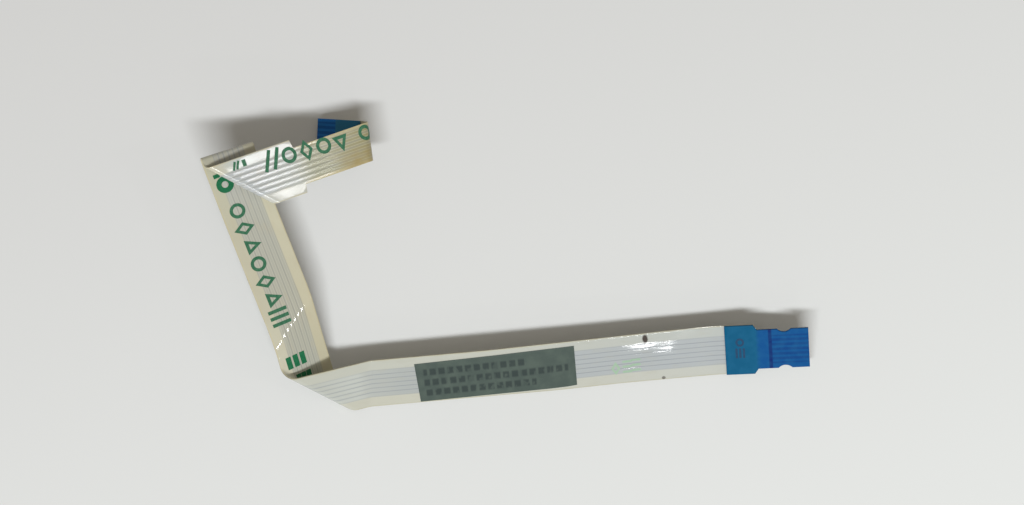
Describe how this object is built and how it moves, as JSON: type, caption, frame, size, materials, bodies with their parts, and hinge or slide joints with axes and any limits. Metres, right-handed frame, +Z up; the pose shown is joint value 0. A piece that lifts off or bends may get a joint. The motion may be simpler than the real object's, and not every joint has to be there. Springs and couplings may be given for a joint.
{
  "type": "flat flex cable",
  "caption": "Folded flat flex cable with stiffened ends, a notched board head, a narrow pad head, inner flat conductors and a label.",
  "frame": {"origin": "centre of the underside of the whole folded cable's bounding box", "axes": "+X along the long board run towards the notched board end, +Y across the surface towards the pad end, +Z up"},
  "size_m": [0.0574, 0.0278, 0.0073],
  "materials": {
    "contact_film": "clear polyester film, slightly milky and yellowed at the edges",
    "stiffener_film": "clear polyester film over flat conductors",
    "conductor": "bright tin over flat copper",
    "board_stiffener": "blue polyester stiffener",
    "pad_stiffener": "blue polyester stiffener",
    "label": "dull grey-green film label"
  },
  "bodies": {
    "root": {"contact_side_film": "contact_film", "stiffener_side_film": "stiffener_film", "conductor_1": "conductor", "conductor_2": "conductor", "conductor_3": "conductor", "conductor_4": "conductor", "conductor_5": "conductor", "conductor_6": "conductor", "board_stiffener": "board_stiffener", "pad_stiffener": "pad_stiffener", "label": "label"}
  },
  "joints": []
}
